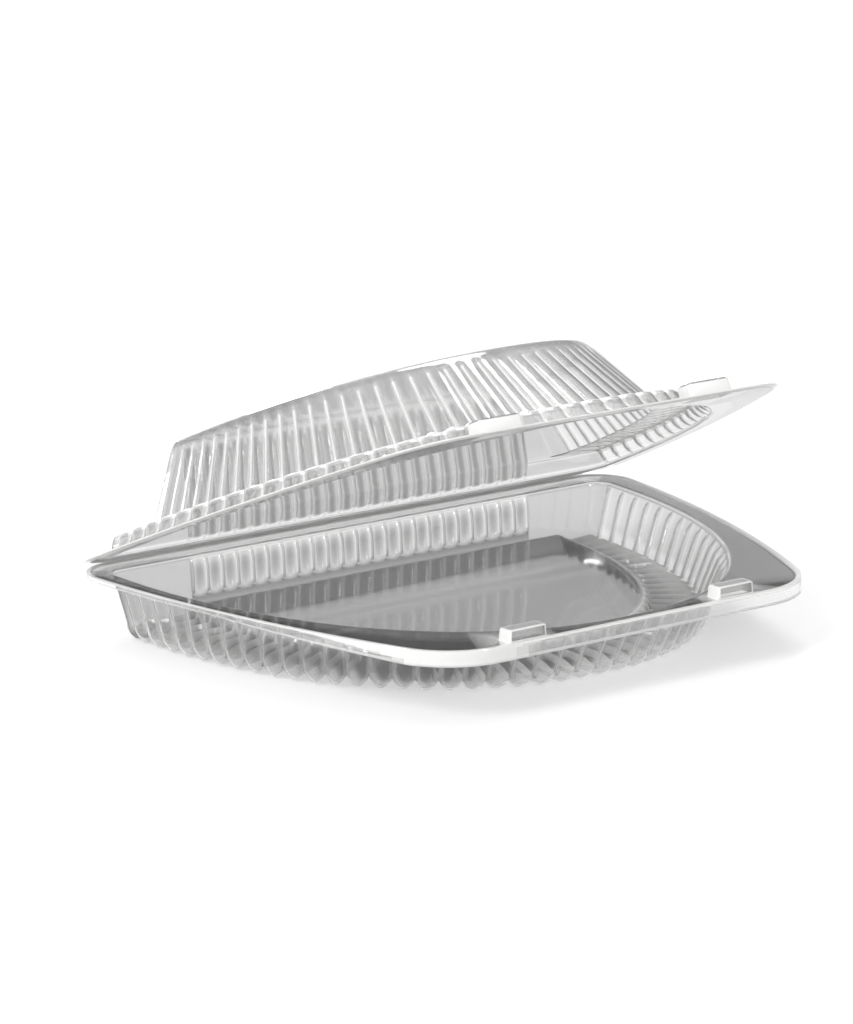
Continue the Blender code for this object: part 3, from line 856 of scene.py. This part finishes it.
def floor_paint():
    """A matt pale floor that keeps the shadow, and glows to the camera and in reflections."""
    material = bpy.data.materials.new("floor_white")
    material.use_nodes = True
    nodes, links = material.node_tree.nodes, material.node_tree.links
    shader = nodes["Principled BSDF"]
    shader.inputs["Base Color"].default_value = (*FLOOR_COLOUR, 1)
    shader.inputs["Roughness"].default_value = 1.0
    shader.inputs["Specular IOR Level"].default_value = 0.0
    shader.inputs["Emission Color"].default_value = (1, 1, 1, 1)
    seen = seen_rays(nodes, links)
    glow = nodes.new("ShaderNodeMath")
    glow.operation = "MULTIPLY"
    glow.inputs[1].default_value = FLOOR_GLOW
    links.new(seen, glow.inputs[0])
    links.new(glow.outputs[0], shader.inputs["Emission Strength"])
    return material


floor_data = bpy.data.meshes.new("floor")
floor_mesh = bmesh.new()
bmesh.ops.create_grid(floor_mesh, x_segments=1, y_segments=1, size=FLOOR_SIZE)
floor_mesh.to_mesh(floor_data)
floor_mesh.free()
floor = bpy.data.objects.new("floor", floor_data)
floor.location = (0, 0, tray_low.z - FLOOR_DROP)
bpy.context.scene.collection.objects.link(floor)
floor_data.materials.append(floor_paint())


# The studio
# Not part of the pack: a soft light from all round, which the clear sheet reflects and bends, and wide soft
# lamps that light the floor and put glints on the sheet.

# The light by the sine of its height: (sine, strength)
STUDIO_STOPS = ((0.0, 1.0), (0.12, 0.9), (0.24, 0.34), (0.58, 0.28), (0.72, 0.95), (1.0, 0.95))
# How strong it is from the far left and from the far right
STUDIO_SIDES = (1.25, 0.60)
# Lamps: (name, turn about the vertical, height and softness in degrees, power)
LAMPS = (
    ("lamp_left", 262, 42, 22, 1.7),
    ("lamp_back", 35, 58, 25, 1.0),
    ("lamp_front", 190, 30, 18, 0.7),
    ("glint_left", 275, 9, 7, 0.35),
    ("glint_front", 165, 12, 7, 0.30),
    ("glint_back", 20, 16, 7, 0.30),
)


def soft_world():
    """The studio's light: white low down, dark above that, and pale overhead. To the camera it is white."""
    world = bpy.data.worlds.new("studio")
    world.use_nodes = True
    nodes, links = world.node_tree.nodes, world.node_tree.links
    background = nodes["Background"]
    place = nodes.new("ShaderNodeTexCoord")
    split = nodes.new("ShaderNodeSeparateXYZ")
    links.new(place.outputs["Generated"], split.inputs[0])
    sky = nodes.new("ShaderNodeValToRGB")
    for stop in STUDIO_STOPS[2:]:
        sky.color_ramp.elements.new(stop[0])
    for element, (height, strength) in zip(sky.color_ramp.elements, STUDIO_STOPS):
        element.position = height
        element.color = (strength, strength, strength, 1)
    links.new(split.outputs["Z"], sky.inputs["Fac"])
    side = nodes.new("ShaderNodeMapRange")
    side.inputs["From Min"].default_value = -1.0
    side.inputs["To Min"].default_value, side.inputs["To Max"].default_value = STUDIO_SIDES
    links.new(split.outputs["X"], side.inputs["Value"])
    sided = nodes.new("ShaderNodeVectorMath")
    sided.operation = "SCALE"
    links.new(sky.outputs["Color"], sided.inputs[0])
    links.new(side.outputs["Result"], sided.inputs["Scale"])
    path = nodes.new("ShaderNodeLightPath")
    colour = nodes.new("ShaderNodeMix")
    colour.data_type = "RGBA"
    colour.inputs["B"].default_value = (1, 1, 1, 1)
    links.new(path.outputs["Is Camera Ray"], colour.inputs["Factor"])
    links.new(sided.outputs["Vector"], colour.inputs["A"])
    links.new(colour.outputs["Result"], background.inputs["Color"])
    bpy.context.scene.world = world


def soft_sun(name, turn, height, softness, power):
    """A far, soft lamp that shines from its turn about the vertical and its height."""
    lamp = bpy.data.lights.new(name, "SUN")
    lamp.energy = power
    lamp.angle = math.radians(softness)
    holder = bpy.data.objects.new(name, lamp)
    turn, height = math.radians(turn), math.radians(height)
    towards = Vector((math.sin(turn) * math.cos(height), math.cos(turn) * math.cos(height), math.sin(height)))
    holder.rotation_euler = towards.to_track_quat("Z", "Y").to_euler()
    bpy.context.scene.collection.objects.link(holder)


soft_world()
for lamp in LAMPS:
    soft_sun(*lamp)


# The view
# The camera stands where the photograph was taken from. It is fitted to the pack as a focal length in pixels,
# how far it looks down, its turn about the vertical, and the pixel and distance of the hinge's middle.

FRAME_WIDTH, FRAME_HEIGHT = 853, 1024
FOCAL_PIXELS = 4742.35
LOOK_DOWN = math.radians(14.316)
LOOK_TURN = math.radians(36.715)
HINGE_DISTANCE = 1.709818
HINGE_PIXEL = (347.956, 516.958)
CENTRE_PIXEL = (447.505, 499.774)
SENSOR_WIDTH = 36.0
# How often light may pass through the many clear walls, or bounce off them
CLEAR_BOUNCES = 32
GLOSSY_BOUNCES = 8

right = Vector((math.cos(LOOK_TURN), -math.sin(LOOK_TURN), 0))
ahead = Vector((math.sin(LOOK_TURN), math.cos(LOOK_TURN), 0))
forward = math.cos(LOOK_DOWN) * ahead - math.sin(LOOK_DOWN) * Vector((0, 0, 1))
upward = math.sin(LOOK_DOWN) * ahead + math.cos(LOOK_DOWN) * Vector((0, 0, 1))
across = (HINGE_PIXEL[0] - CENTRE_PIXEL[0]) / FOCAL_PIXELS
down = (HINGE_PIXEL[1] - CENTRE_PIXEL[1]) / FOCAL_PIXELS
lens = bpy.data.cameras.new("view")
lens.sensor_width = SENSOR_WIDTH
lens.lens = FOCAL_PIXELS / FRAME_HEIGHT * SENSOR_WIDTH
lens.shift_x = (FRAME_WIDTH / 2 - CENTRE_PIXEL[0]) / FRAME_HEIGHT
lens.shift_y = (CENTRE_PIXEL[1] - FRAME_HEIGHT / 2) / FRAME_HEIGHT
camera = bpy.data.objects.new("view", lens)
bpy.context.scene.collection.objects.link(camera)
stand = Matrix((right, upward, -forward)).transposed().to_4x4()
stand.translation = hinge - HINGE_DISTANCE * (across * right + forward - down * upward)
camera.matrix_world = stand
bpy.context.scene.camera = camera
bpy.context.scene.view_settings.view_transform = "Standard"
bpy.context.scene.cycles.max_bounces = CLEAR_BOUNCES
bpy.context.scene.cycles.transmission_bounces = CLEAR_BOUNCES
bpy.context.scene.cycles.glossy_bounces = GLOSSY_BOUNCES
